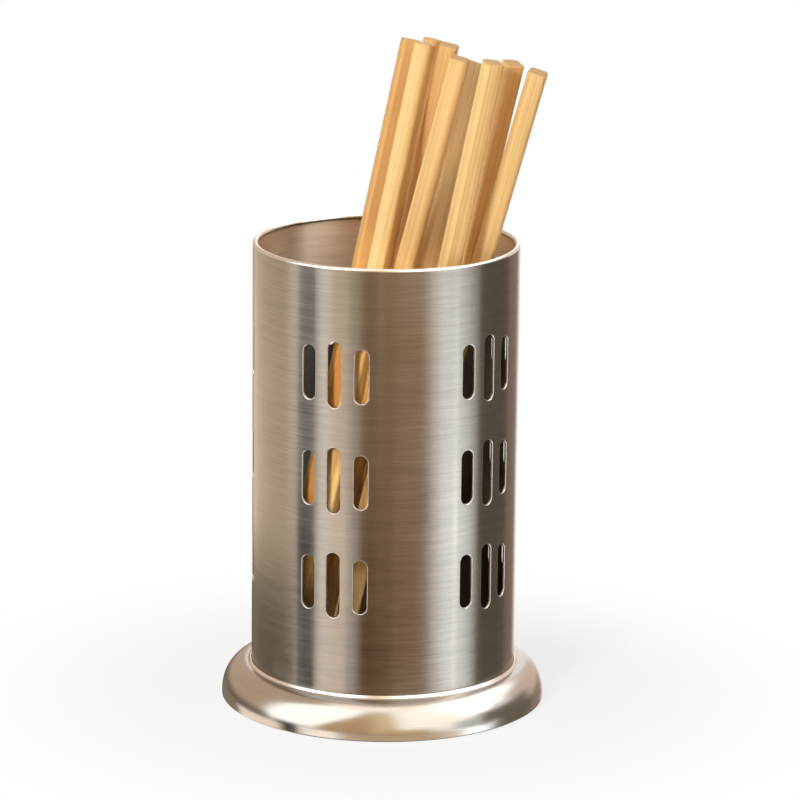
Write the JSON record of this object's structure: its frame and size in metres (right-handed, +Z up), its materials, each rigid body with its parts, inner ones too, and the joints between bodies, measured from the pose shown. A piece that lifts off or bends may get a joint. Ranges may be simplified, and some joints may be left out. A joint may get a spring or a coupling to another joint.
{
  "type": "chopstick holder",
  "caption": "Round slotted stainless steel holder on a domed base skirt, with a drain floor, a non-slip foot ring and loose wooden chopsticks that lift out.",
  "frame": {"origin": "centre of the foot ring's underside, on the table", "axes": "+Z up along the tube's axis; the front looks along -Y, and +X is to the right of someone who faces it; the chopsticks lean towards +X"},
  "size_m": [0.12, 0.12, 0.2471],
  "materials": {
    "brushed_steel": "brushed round the tube, satin",
    "spun_steel": "fine spun satin, brighter than the tube",
    "pressed_steel": "mill finish sheet",
    "foot_rubber": "matt moulded rubber",
    "chopstick_wood": "smooth light wood, fine lengthwise grain, thin clear coat"
  },
  "bodies": {
    "holder": {"tube": "brushed_steel", "base_skirt": "spun_steel", "foot_ring": "foot_rubber", "drain_floor": "pressed_steel"},
    "chopstick_1": {"chopstick_1": "chopstick_wood"},
    "chopstick_2": {"chopstick_2": "chopstick_wood"},
    "chopstick_3": {"chopstick_3": "chopstick_wood"},
    "chopstick_4": {"chopstick_4": "chopstick_wood"},
    "chopstick_5": {"chopstick_5": "chopstick_wood"},
    "chopstick_6": {"chopstick_6": "chopstick_wood"},
    "chopstick_7": {"chopstick_7": "chopstick_wood"},
    "chopstick_8": {"chopstick_8": "chopstick_wood"},
    "chopstick_9": {"chopstick_9": "chopstick_wood"}
  },
  "joints": [
    {"name": "chopstick_1_lift", "type": "slide", "parent": "holder", "child": "chopstick_1", "axis": [0.2022, 0.1168, 0.9724], "range_m": [0, 0.18]},
    {"name": "chopstick_2_lift", "type": "slide", "parent": "holder", "child": "chopstick_2", "axis": [0.1968, 0.0939, 0.9759], "range_m": [0, 0.18]},
    {"name": "chopstick_3_lift", "type": "slide", "parent": "holder", "child": "chopstick_3", "axis": [0.2358, 0.101, 0.9665], "range_m": [0, 0.18]},
    {"name": "chopstick_4_lift", "type": "slide", "parent": "holder", "child": "chopstick_4", "axis": [0.1912, -0.1212, 0.974], "range_m": [0, 0.18]},
    {"name": "chopstick_5_lift", "type": "slide", "parent": "holder", "child": "chopstick_5", "axis": [0.2328, -0.1132, 0.9659], "range_m": [0, 0.18]},
    {"name": "chopstick_6_lift", "type": "slide", "parent": "holder", "child": "chopstick_6", "axis": [0.2097, 0.3704, 0.9049], "range_m": [0, 0.18]},
    {"name": "chopstick_7_lift", "type": "slide", "parent": "holder", "child": "chopstick_7", "axis": [0.1893, -0.1021, 0.9766], "range_m": [0, 0.18]},
    {"name": "chopstick_8_lift", "type": "slide", "parent": "holder", "child": "chopstick_8", "axis": [0.2036, -0.1747, 0.9633], "range_m": [0, 0.18]},
    {"name": "chopstick_9_lift", "type": "slide", "parent": "holder", "child": "chopstick_9", "axis": [0.2479, -0.1607, 0.9554], "range_m": [0, 0.18]}
  ]
}
